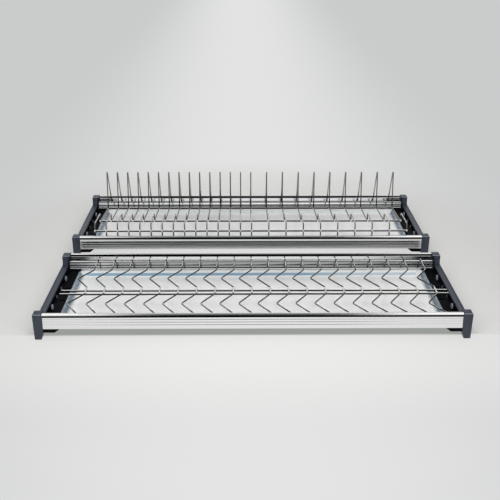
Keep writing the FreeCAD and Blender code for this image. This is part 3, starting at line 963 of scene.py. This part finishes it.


# The electrodes press the welds flat; their bright tone is a painted highlight, and small ripples of about
# 0.4 mm stay in the upset metal.
weld_steel, tree, shader = start_finish("spot_weld_painted_shine")
place = put_node(tree, "ShaderNodeTexCoord", {})
ripples = put_node(
    tree,
    "ShaderNodeTexNoise",
    {"Vector": place.outputs["Object"], "Scale": 1 / 0.0004, "Detail": 1.0},
)
weld_tone = lay_tones(tree, "#DDDDDB", (ripples.outputs["Fac"], "#F2F2F0"))
tree.links.new(weld_tone, shader.inputs["Base Color"])
shader.inputs["Roughness"].default_value = 0.35
shader.inputs["Metallic"].default_value = 0.5


def nearest_to_rod(points, rod):
    """The place on a wire's straight runs that is nearest to a rod, seen along the rod."""
    places = []
    for start, end in zip(points, points[1:]):
        share = (rod - start).dot(end - start) / (end - start).length_squared
        places.append(start.lerp(end, max(0.0, min(1.0, share))))
    return min(places, key=lambda spot: (Vector((0, spot.y, spot.z)) - rod).length)


def add_weld(wire, points, rod_node, tier, sink, size):
    """A weld bead on a wire, sunk by a share of the way towards the middle of the rod that it crosses."""
    low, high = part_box(rod_node)
    middle = (low + high) / 2
    rod = Vector((0, middle.y - tier_front[tier], middle.z))
    touch = nearest_to_rod(points, rod)
    deselect_all()
    bpy.ops.mesh.primitive_uv_sphere_add(
        segments=8,
        ring_count=6,
        radius=1.0,
        location=touch.lerp(Vector((touch.x, rod.y, rod.z)), sink),
    )
    bead = bpy.context.object
    bead.scale = size
    bpy.ops.object.transform_apply(location=True, rotation=True, scale=True)
    bead.data.materials.append(weld_steel)
    wire.select_set(True)
    bpy.context.view_layer.objects.active = wire
    bpy.ops.object.join()


def takes_painted_shine(face):
    """Whether a face lies on the straight part of the wire between the two rods, which takes the welds'
    bright tone as a painted highlight.
    """
    return painted_shine_start < face.calc_center_median().y < painted_shine_end and face.material_index == 0


chevron_master = run_wire("chevron_master", chevron_points, [chevron_bend] * 6)
chevron_master.data.materials.append(bright_wire)
for rod_node in ("cup_front_rod", "cup_rear_rod"):
    add_weld(chevron_master, chevron_points, rod_node, "cup", weld_sink, weld_size)
# The straight run between the two rods takes the welds' bright finish, a painted highlight.
bpy.ops.object.mode_set(mode="EDIT")
select_where(takes_painted_shine, "FACE")
chevron_master.active_material_index = 1
bpy.ops.object.material_slot_assign()
bpy.ops.object.mode_set(mode="OBJECT")
cup_first = cup_shift - cup_pitch * (cup_count - 1) / 2
for i in range(cup_count):
    move = Matrix.Translation((cup_first + cup_pitch * i, tier_front["cup"], 0))
    wire = own_copy(chevron_master, f"cup_chevron_wire_{i + 1:02d}", move)
    finish_piece(wire, bright_wire, "cup_basket", ["cup_chevron_wires"], 50)
bpy.data.objects.remove(chevron_master)


# Plate wires: twenty-four wires of 3 mm stainless, each bent from one length to a low hump and a tall loop.
# Fifteen stand close for plates and nine wider for bowls, and three rods hold them from below.
plate_points = [
    Vector((0, 0.0225, 0.0469)),
    Vector((0, 0.0265, 0.0800)),
    Vector((0, 0.1050, 0.0770)),
    Vector((0, 0.0955, 0.0575)),
    Vector((0, 0.2150, 0.0478)),
    Vector((0, 0.2338, 0.1400)),
    Vector((0, 0.2402, 0.1400)),
    Vector((0, 0.2650, 0.0680)),
    Vector((0, 0.2720, 0.0469)),
]
plate_bends = [0.006, 0.006, 0.006, 0.007, 0.003, 0.003, 0.007]
collar_sink = 1.0
collar_size = (0.0025, 0.0031, 0.0031)
plate_first = -0.3796
narrow_pitch = 0.0272
narrow_count = 15
wide_count = 9
plate_master = run_wire("plate_master", plate_points, plate_bends)
plate_master.data.materials.append(bright_wire)
# Here the upset metal stands round each rod as a low collar.
for rod_node in ("plate_front_rod", "plate_step_rod", "plate_loop_rod"):
    add_weld(plate_master, plate_points, rod_node, "plate", collar_sink, collar_size)
wide_first = plate_first + narrow_pitch * (narrow_count - 1)
wide_pitch = (-plate_first - wide_first) / wide_count
plate_places = [(plate_first + narrow_pitch * i, "plate_narrow_wires") for i in range(narrow_count)]
plate_places += [(wide_first + wide_pitch * (i + 1), "plate_wide_wires") for i in range(wide_count)]
for i, (x, node) in enumerate(plate_places):
    move = Matrix.Translation((x, tier_front["plate"], 0))
    wire = own_copy(plate_master, f"plate_wire_{i + 1:02d}", move)
    finish_piece(wire, bright_wire, "plate_basket", [node], 50)
bpy.data.objects.remove(plate_master)
